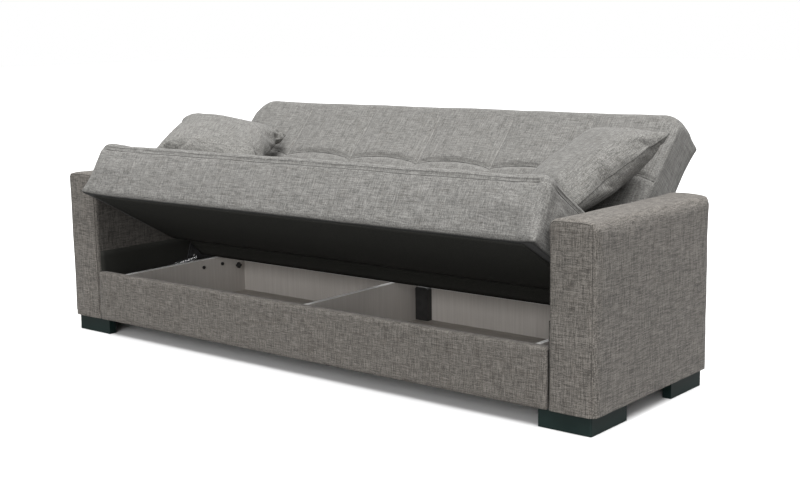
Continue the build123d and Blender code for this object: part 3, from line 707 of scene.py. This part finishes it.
# Painted shade on the turned-under edge at the seat's underside.
turned_hinge = Matrix.Rotation(seat_turn[0], 3, "X") @ hinge
paint_underside_shade(linen_seat, seat_turn, float(seat_low[2]) - hinge.z + turned_hinge.z + 0.001)

seat_loop = dense(rounded_loop(seat_low[0], seat_high[0], seat_low[1], seat_high[1] - 0.01, 0.05), 0.012)
for row, radius, gap in (("lower", 0.0012, 0.0), ("upper", 0.0006, ROW_GAP)):
    path = [(x, y, float(seam_height(x, y)[0]) + gap) for x, y in seat_loop]
    path = on_surface(seat, path, 0.0001)
    sewn_line("seat_seam_" + row, path, radius, seat_tilt, "seat", shaded_linen_seam, cyclic=True)
finished(seat, seat_tilt, linen_seat, "seat", "grey_linen_fabric", "seat_cushion")

# %% [markdown]
# The back is sewn into upright panels that end at one cross seam, and between two upright seams the cross
# seam bows up. The panels puff out between the stitches. Near the top edge the upright seams run out. A
# height for each point of the front face gives all of this: a shallow arch across each panel, a narrow
# crease on each line with small puckers beside it, and a wider crease along the bowed cross seam. The rear
# face is hollow where it passes over the box when the back lies down. Above that it swells a little, up to
# a firm top corner, and the corners of the front are rounded.

# %% Back
back = outer_form("back_cushion", "back_upholstery", back_tilt)
back_points = points_of(back.data)
back_low, back_high = back_points.min(0), back_points.max(0)
BACK_CELL = 0.0115
BACK_PRESSURE = 3.0
BACK_SWELL = 0.008
BACK_PLUMP = 0.003
TOP_REAR_REACH = 0.572
REAR_SWELL = 0.013
REAR_SWELL_START = 0.26
REAR_SWELL_EASE = 0.10
HOLLOW_MIDDLE = 0.190
HOLLOW_HALF = 0.130
HOLLOW_DEPTH = 0.014
CORNER_ROUND = 0.075
SIDE_REACHES = (0.20, 0.48)
TOP_MIDDLE = 0.7
FIRM_SHARE = 0.6
even_cells(back, BACK_CELL)
swollen(back, BACK_PRESSURE, BACK_SWELL)
subdivided(back)
plumped(back, BACK_PLUMP)
uneven(back, 0.15, 0.002, 5)
within(back, back_low, back_high + np.array([0, 0.006, 0.004]))
points = points_of(back.data)
reach = points[:, 1] - hinge.y
behind = np.clip((hinge.z - 0.006 - points[:, 2]) / 0.03, 0, 1)
hollow = HOLLOW_DEPTH * np.clip(1 - ((reach - HOLLOW_MIDDLE) / HOLLOW_HALF) ** 2, 0, 1)
swell = REAR_SWELL * np.clip((reach - REAR_SWELL_START) / REAR_SWELL_EASE, 0, 1)
points[:, 2] += (hollow - swell) * behind
front_share = np.clip((points[:, 2] - hinge.z) / (back_high[2] - hinge.z), 0, 1)
halfway_up = (reach > SIDE_REACHES[0]) & (reach < SIDE_REACHES[1])
side_line = widest(points[:, 2], np.abs(points[:, 0]), halfway_up)
top_line = widest(points[:, 2], points[:, 1], np.abs(points[:, 0]) < TOP_MIDDLE)
points = corner_rounded(points, (0, 1), (side_line, top_line), CORNER_ROUND * front_share + 0.001)
set_points(back.data, points)
rear_corner = (hinge.y + TOP_REAR_REACH, back_low[2] - REAR_SWELL - 0.003)
drawn_out(back, rear_corner, [1, 2], 0.045, FIRM_SHARE)
for sign in (-1, 1):
    drawn_out(back, (sign * back_high[0], *rear_corner), [0, 1, 2], 0.06, FIRM_SHARE)

PANELS = 6
CROSS_SEAM = 0.335
CROSS_BOW = 0.020
CROSS_DEPTH = 0.010
CROSS_HALF = 0.010
ARCH_DEPTH = 0.011
CREASE_DEPTH = 0.005
CREASE_HALF = 0.009
PUCKER_DEPTH = 0.0009
PUCKER_LENGTH = 0.031
PUCKER_HALF = 0.018
PLAIN_END = 0.06
FADE_LENGTH = 0.14
EDGE_CUT = 0.03
half_width = back_high[0]
panel_width = 2 * half_width / PANELS


def cross_seam_at(x):
    across = ((x + half_width) / panel_width) % 1.0
    return CROSS_SEAM + CROSS_BOW * (4 * across * (1 - across)) ** 0.7 - CROSS_BOW * 0.5


points = points_of(back.data)
normals = points_of(back.data, "normal")
reach = points[:, 1] - hinge.y
across = ((points[:, 0] + half_width) / panel_width) % 1.0
edge_distance = np.minimum(across, 1 - across) * panel_width
edge_distance = np.where(np.abs(points[:, 0]) > half_width - PLAIN_END, 1.0, edge_distance)
over_seam = reach - cross_seam_at(points[:, 0])
top_reach = back_high[1] - hinge.y
upper = 1 / (1 + np.exp(-over_seam / 0.006))
fade = np.clip((top_reach - reach) / FADE_LENGTH, 0.0, 1.0) ** 0.7
arch = (2 * across - 1) ** 2
facing = np.clip((normals[:, 2] - 0.5) / 0.3, 0, 1)
ripple = np.sin(reach * 2 * math.pi / PUCKER_LENGTH + 3 * np.sin(points[:, 0] * 9))
pucker = ripple * np.exp(-(edge_distance / PUCKER_HALF) ** 2)
drop = ARCH_DEPTH * arch * upper * fade
drop += (CREASE_DEPTH * np.exp(-(edge_distance / CREASE_HALF) ** 2) + PUCKER_DEPTH * pucker) * upper * fade
drop += CROSS_DEPTH * np.exp(-(over_seam / CROSS_HALF) ** 2)
points[:, 2] -= drop * facing
set_points(back.data, points)

for number in range(1, PANELS):
    x = -half_width + number * panel_width
    start = hinge.y + float(cross_seam_at(x))
    path = stretch((x, start, back_high[2]), (x, back_high[1] - PLAIN_END, back_high[2]), 80)
    path = dropped_on(back, path, 0.0008)
    sewn_line("back_upright_seam_%d" % number, path, 0.0015, back_tilt, "back", linen_stitch_highlight)
xs = np.linspace(-half_width + 0.012, half_width - 0.012, 300)
path = [(x, hinge.y + float(cross_seam_at(x)), back_high[2]) for x in xs]
sewn_line("back_cross_seam", dropped_on(back, path, 0.0002, 1), 0.0014, back_tilt, "back", shaded_linen_seam)
foot, side_end, top_end = back_low[1] + EDGE_CUT, back_high[1] - EDGE_CUT, half_width - EDGE_CUT
edge = [(half_width, foot), (half_width, side_end), (top_end, back_high[1]),
        (-top_end, back_high[1]), (-half_width, side_end), (-half_width, foot)]
edge = [(x, y, back_high[2] - 0.020) for x, y in dense(edge, 0.012, closed=False)]
sewn_line("back_edge_seam", on_surface(back, edge, 0.0002), 0.0010, back_tilt, "back", shaded_linen_edge_seam)
finished(back, back_tilt, linen_back, "back", "grey_linen_fabric", "back_cushion")

# %% [markdown]
# A scatter pillow is two squares of cloth sewn along their edges and stuffed. The honest way to make one is
# the same: two flat sheets that share their rim are blown up by the cloth simulation. The rim pulls in
# between the corners, and the corners stay as small ears. Folds gather along the seam, most of all at the
# corners. Where the pillow would sink into the seat, the back or an arm, it is pressed flat against it.


# %% Pillows
PILLOW_TURNS = {"right": (27.8, -18.3, -25.6), "left": (9.3, 16.1, 28.7)}
PILLOW_SIZE = (0.404, 0.404, 0.146)
CUT_HALF = 0.225
SHEET_CELLS = 60
PILLOW_PRESSURE = 3.0
PILLOW_BENDING = 0.4
GATHER = 0.005
GATHER_LENGTH = 0.017
GATHER_INSET = 0.05
CORNER_REACH = 0.07
CLEARANCE = 0.0015


def flat_pillow(name):
    bm = bmesh.new()
    bmesh.ops.create_grid(bm, x_segments=SHEET_CELLS, y_segments=SHEET_CELLS, size=CUT_HALF)
    bmesh.ops.solidify(bm, geom=bm.faces[:], thickness=0.006)
    walls = [edge for edge in bm.edges if abs(edge.verts[0].co.z - edge.verts[1].co.z) > 0.003]
    bmesh.ops.collapse(bm, edges=walls)
    bmesh.ops.recalc_face_normals(bm, faces=bm.faces[:])
    print(name, "rim stitches", len(walls))
    mesh = bpy.data.meshes.new(name)
    bm.to_mesh(mesh)
    bm.free()
    return added(name, mesh)


def gathered(piece, cut, amount, seed):
    points = points_of(piece.data)
    normals = points_of(piece.data, "normal")
    inset = CUT_HALF - np.abs(cut[:, :2]).max(1)
    along = np.where(np.abs(cut[:, 0]) > np.abs(cut[:, 1]), cut[:, 1], cut[:, 0])
    from_corner = CUT_HALF - np.abs(along)
    folds = np.array([noise.noise(Vector((place / GATHER_LENGTH, seed, 0.0))) for place in along])
    size = amount * (0.35 + 1.6 * np.exp(-(from_corner / CORNER_REACH) ** 2))
    size *= np.exp(-(inset / GATHER_INSET) ** 2) * np.clip(inset / 0.012, 0, 1)
    set_points(piece.data, points + normals * (folds * size)[:, None])


def kept_clear(piece, neighbours, gap):
    points = points_of(piece.data)
    moved = 0
    for name in neighbours:
        neighbour = bpy.data.objects[name]
        for number, point in enumerate(points):
            hit, place, normal, face = neighbour.closest_point_on_mesh(Vector(point), distance=0.05)
            if hit and (Vector(point) - place).dot(normal) < gap:
                points[number] = place + normal * gap
                moved += 1
    set_points(piece.data, points)
    print(piece.name, "points pressed flat", moved)


def stuffed_pillow(side):
    node = side + "_pillow"
    low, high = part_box(node)
    ax, ay, az = (math.radians(a) for a in PILLOW_TURNS[side])
    spin = Matrix.Rotation(ax, 4, "X") @ Matrix.Rotation(ay, 4, "Y") @ Matrix.Rotation(az, 4, "Z")
    place = Matrix.Translation((low + high) / 2) @ spin
    pillow = flat_pillow(side + "_scatter_pillow")
    cut = points_of(pillow.data)
    rim = np.flatnonzero(np.abs(cut[:, :2]).max(1) > CUT_HALF - 0.0001)
    seed = 8 if side == "right" else 9
    uneven(pillow, 0.07, 0.0015, seed)
    swollen(pillow, PILLOW_PRESSURE, 0.12, 20, bending=PILLOW_BENDING)
    points = points_of(pillow.data)
    middle = (points.max(0) + points.min(0)) / 2
    scale = np.array(PILLOW_SIZE) / (points.max(0) - points.min(0))
    set_points(pillow.data, (points - middle) * scale)
    print(pillow.name, "scaled by", scale.round(3))
    gathered(pillow, cut, GATHER, seed)
    subdivided(pillow)
    pillow.data.transform(place)
    kept_clear(pillow, ("seat_upholstery", "back_upholstery", side + "_arm_upholstery"), CLEARANCE)
    points = points_of(pillow.data)
    path = [Vector(points[i]) for i in sorted(rim, key=lambda i: math.atan2(cut[i][1], cut[i][0]))]
    cloth = linen("linen_%s_pillow" % side, PILLOW_TONE, spin.inverted().to_euler(), 0.95)
    sewn_line(side + "_pillow_seam", path, 0.0019, level, node, shaded_linen_pillow_seam, cyclic=True)
    finished(pillow, level, cloth, node, "grey_linen_fabric", node)


for side in ("right", "left"):
    stuffed_pillow(side)

# %% [markdown]
# Thin black cloth closes the underside of the seat and the foot of the back, and lines the low part of the
# arms where the hinges work. It is stapled tight, so a fine grid with a slight ripple is enough. The sheets
# are cut to the size of the solids that they stand for.


# %% Black cloth
def felt_cloth():
    material, tree, shader = new_material("black_cloth_felt")
    fibres = grain(tree, (0, 0, 0), (420, 420, 420), 3.0)
    colour = ramp(tree, fibres, [(0.3, (0.012, 0.012, 0.0105)), (0.7, (0.042, 0.042, 0.037))])
    tree.links.new(colour, shader.inputs["Base Color"])
    shader.inputs["Roughness"].default_value = 0.95
    shader.inputs["Specular IOR Level"].default_value = 0.2
    raised_grain(tree, shader, fibres, 0.3, 0.0008)
    return material


SHEET_CELL = 0.02
RIPPLE_LENGTH = 0.16
SHEET_THICKNESS = 0.0008
black_felt = felt_cloth()


def stapled_sheet(name, node, tilted, body, thin_axis, proud):
    bm = bmesh.new()
    bm.from_mesh(nodes[node].data)
    bm.transform(tilted.inverted())
    low = Vector([min(v.co[i] for v in bm.verts) for i in range(3)])
    high = Vector([max(v.co[i] for v in bm.verts) for i in range(3)])
    bm.clear()
    spread = [i for i in range(3) if i != thin_axis]
    size = [high[i] - low[i] for i in spread]
    cells = [max(2, int(length / SHEET_CELL)) for length in size]
    bmesh.ops.create_grid(bm, x_segments=cells[0], y_segments=cells[1], size=0.5)
    for vert in bm.verts:
        u, v = vert.co.x + 0.5, vert.co.y + 0.5
        ripple = noise.noise(Vector((u * size[0] / RIPPLE_LENGTH, v * size[1] / RIPPLE_LENGTH, 4.0)))
        hang = proud * (1 + ripple * (16 * u * (1 - u) * v * (1 - v)) ** 0.5)
        place = Vector(low)
        place[spread[0]] = low[spread[0]] + u * size[0]
        place[spread[1]] = low[spread[1]] + v * size[1]
        place[thin_axis] = (low[thin_axis] + high[thin_axis]) / 2 + hang
        vert.co = place
    bmesh.ops.recalc_face_normals(bm, faces=bm.faces[:])
    bmesh.ops.solidify(bm, geom=bm.faces[:], thickness=SHEET_THICKNESS)
    bmesh.ops.recalc_face_normals(bm, faces=bm.faces[:])
    mesh = bpy.data.meshes.new(name)
    bm.to_mesh(mesh)
    bm.free()
    sheet = finished(added(name, mesh), tilted, black_felt, body, "black_cloth", node)
    return sheet


stapled_sheet("seat_dust_sheet", "seat_dust_cover", seat_tilt, "seat", 2, -0.0016)
stapled_sheet("back_foot_sheet", "back_foot_cover", back_tilt, "back", 1, -0.0010)
stapled_sheet("right_lining_sheet", "right_arm_lining", level, "base", 0, 0.0)
stapled_sheet("left_lining_sheet", "left_arm_lining", level, "base", 0, 0.0)

# %% [markdown]
# The storage box is made of light laminate boards with a faint upright grain and white bands on their cut
# edges. The floor boards are thinner and darker. These solids already have the right shape, so they stay
# and only get a finish.


# %% Boards
def board(name, dark, light, streaks, rough, bump=0.12):
    material, tree, shader = new_material(name)
    lines = grain(tree, (0, 0, 0), streaks, 4.0, 0.6)
    colour = ramp(tree, lines, [(0.3, dark), (0.7, light)])
    patches = grain(tree, (0, 0, 0), (5, 5, 5))
    cloud = ramp(tree, patches, [(0.3, (0.94, 0.94, 0.94)), (0.7, (1.05, 1.05, 1.05))])
    tree.links.new(blended(tree, "MULTIPLY", 1.0, colour, cloud), shader.inputs["Base Color"])
    shader.inputs["Roughness"].default_value = rough
    raised_grain(tree, shader, lines, bump, 0.0006)
    return material


laminate = board("laminate_board", (0.45, 0.42, 0.39), (0.52, 0.49, 0.46), (160, 160, 5), 0.5)
floor_board = board("box_floor_board", (0.27, 0.245, 0.22), (0.36, 0.33, 0.30), (6, 120, 120), 0.6)
raw_board = board("frame_board", (0.36, 0.26, 0.16), (0.55, 0.42, 0.28), (5, 110, 110), 0.75)
edge_band = board("white_edge_band", (0.86, 0.85, 0.83), (0.92, 0.91, 0.89), (40, 40, 40), 0.38, 0.03)

# %% [markdown]
# The feet are moulded in a dark green-black with a satin gloss and a slight waviness. Hinge plates are
# steel painted near black, as painted shade of the hollow under the seat; springs and pins are bright, the bolt
# heads on the box are blackened and the knobs and the post are black plastic.


# %% Feet, metal and plastic
def smooth_finish(name, dark, light, rough, metal=0.0, coat=0.0, streaks=(60, 60, 60), bump=0.05):
    material, tree, shader = new_material(name)
    cloud = grain(tree, (0, 0, 0), streaks, 3.0)
    tree.links.new(ramp(tree, cloud, [(0.3, dark), (0.7, light)]), shader.inputs["Base Color"])
    wear = add(tree, "MapRange")
    wear.inputs["To Min"].default_value = rough * 0.8
    wear.inputs["To Max"].default_value = rough * 1.25
    tree.links.new(cloud, wear.inputs["Value"])
    tree.links.new(wear.outputs["Result"], shader.inputs["Roughness"])
    shader.inputs["Metallic"].default_value = metal
    shader.inputs["Coat Weight"].default_value = coat
    shader.inputs["Coat Roughness"].default_value = 0.12
    raised_grain(tree, shader, cloud, bump, 0.0004)
    return material


foot_gloss = smooth_finish("dark_gloss_feet", (0.006, 0.015, 0.0135), (0.011, 0.023, 0.021), 0.36,
                           streaks=(9, 9, 9))
foot_gloss.node_tree.nodes["Principled BSDF"].inputs["Specular IOR Level"].default_value = 0.3
# Hinge plates painted near black: painted shade of the hollow under the seat.
shaded_hinge_steel = smooth_finish("hinge_steel", (0.025, 0.025, 0.026), (0.05, 0.05, 0.052), 0.55, metal=0.5,
                          streaks=(40, 300, 300))
bright_steel = smooth_finish("bright_steel", (0.62, 0.62, 0.63), (0.74, 0.74, 0.75), 0.2, metal=1.0)
black_steel = smooth_finish("blackened_steel", (0.015, 0.015, 0.015), (0.03, 0.03, 0.03), 0.45, metal=0.6)
black_plastic = smooth_finish("black_plastic", (0.012, 0.012, 0.012), (0.024, 0.024, 0.024), 0.5)
webbing = linen("webbing_strap", (0.05, 0.049, 0.046))

slot_finishes = {"frame_board": raw_board, "laminate_board": laminate, "box_floor_board": floor_board,
                 "dark_gloss_feet": foot_gloss, "hinge_steel": shaded_hinge_steel, "bright_steel": bright_steel,
                 "blackened_steel": black_steel, "black_plastic": black_plastic,
                 "white_edge_band": edge_band, "black_cloth": webbing, "grey_linen_fabric": linen_arm}
for part in frame["record"]["subparts"]:
    solid = nodes[part["node"]]
    solid.data.materials.clear()
    solid.data.materials.append(slot_finishes[part["material_slot"]])

# %% [markdown]
# A lift spring runs from a pin on the base to a pin on the seat, so it has to lengthen when the seat goes down.
# Here a copy of the wound wire is made in bright steel in place of its solid, and the middles of the two pins
# are found and printed.


# %% Lift springs
def pin_line(node):
    low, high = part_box(node)
    return (low + high) / 2


def lift_spring(side):
    node = side + "_lift_spring"
    bm = bmesh.new()
    bm.from_mesh(nodes[node].data)
    bmesh.ops.remove_doubles(bm, verts=bm.verts, dist=0.00002)
    mesh = bpy.data.meshes.new(side + "_spring_wire")
    bm.to_mesh(mesh)
    bm.free()
    for polygon in mesh.polygons:
        polygon.use_smooth = True
    mesh.materials.append(bright_steel)
    spring = added(side + "_spring_wire", mesh)
    middle = pin_line(node).x
    start, end = pin_line("base_spring_pins"), pin_line("seat_spring_pins")
    start.x = end.x = middle
    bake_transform(spring)
    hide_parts(node)
    print(spring.name, "from", start, "to", end)


for side in ("right", "left"):
    lift_spring(side)

# %% [markdown]
# The picture has a plain white ground, a broad soft light high at the right, which leaves upright faces
# darker than the tops, and a low one from the front that reaches into the box. A sun with a wide angle is
# such a light at any distance. The floor looks white but throws back only a part of the light, so that the
# space under the seat stays dark. A weak light from behind keeps the rear readable.

# %% Floor and light
bm = bmesh.new()
bmesh.ops.create_grid(bm, x_segments=1, y_segments=1, size=30)
bmesh.ops.translate(bm, vec=(0, 0, -0.0005), verts=bm.verts[:])
floor_mesh = bpy.data.meshes.new("studio_floor")
bm.to_mesh(floor_mesh)
bm.free()
studio_floor = added("studio_floor", floor_mesh)
floor_material, tree, shader = new_material("studio_white")
seen = add(tree, "LightPath").outputs["Is Camera Ray"]
pale = ramp(tree, seen, [(0.0, (0.22, 0.22, 0.22)), (1.0, (0.88, 0.88, 0.88))])
tree.links.new(pale, shader.inputs["Base Color"])
shader.inputs["Roughness"].default_value = 0.9
shader.inputs["Specular IOR Level"].default_value = 0.1
studio_floor.data.materials.append(floor_material)
studio_floor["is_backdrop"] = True

world = bpy.data.worlds.new("studio")
world.use_nodes = True
tree = world.node_tree
sky = tree.nodes["Background"]
seen = add(tree, "LightPath").outputs["Is Camera Ray"]
tree.links.new(ramp(tree, seen, [(0.0, (0.32, 0.32, 0.32)), (1.0, (1, 1, 1))]), sky.inputs["Color"])
scene.world = world


def soft_sun(name, azimuth, elevation, spread, strength):
    data = bpy.data.lights.new(name, "SUN")
    data.energy = strength
    data.angle = math.radians(spread)
    lamp = bpy.data.objects.new(name, data)
    scene.collection.objects.link(lamp)
    across, high = math.radians(azimuth), math.radians(elevation)
    source = Vector((math.sin(across) * math.cos(high), -math.cos(across) * math.cos(high), math.sin(high)))
    lamp.rotation_euler = source.to_track_quat("Z", "Y").to_euler()
    print(name, "from", source)


soft_sun("high_key", 60, 74, 50, 4.5)
soft_sun("low_front", 22, 20, 35, 1.57)
soft_sun("rear_fill", 215, 40, 70, 0.7)
scene.view_settings.view_transform = "Standard"
scene.view_settings.look = "None"

# %% [markdown]
# The camera stands to the front right at about head height of a seated person and looks slightly down. Its
# place, lens and a roll of under one degree were fitted to the edges of the arms, the feet and the rail.

# %% Camera
CAMERA_PLACE = (2.80432, -3.309529, 1.08966)
FOCAL_PIXELS = 1302.54
IMAGE_WIDTH = 800
azimuth, pitch, roll = (math.radians(a) for a in (39.216, 9.704, -0.788))
ahead = Vector((-math.sin(azimuth) * math.cos(pitch), math.cos(azimuth) * math.cos(pitch),
                -math.sin(pitch)))
right = Vector((math.cos(azimuth), math.sin(azimuth), 0))
up = right.cross(ahead)
rolled_right = right * math.cos(roll) + up * math.sin(roll)
rolled_up = up * math.cos(roll) - right * math.sin(roll)
camera_data = bpy.data.cameras.new("studio_camera")
camera_data.sensor_width = 36
camera_data.lens = FOCAL_PIXELS / IMAGE_WIDTH * 36
camera = bpy.data.objects.new("studio_camera", camera_data)
scene.collection.objects.link(camera)
axes = Matrix((rolled_right, rolled_up, -ahead)).transposed()
camera.matrix_world = Matrix.Translation(CAMERA_PLACE) @ axes.to_4x4()
scene.camera = camera

# %% [markdown]
# The last line measures the box round the dressed sofa.

# %% Sizes
low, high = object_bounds()
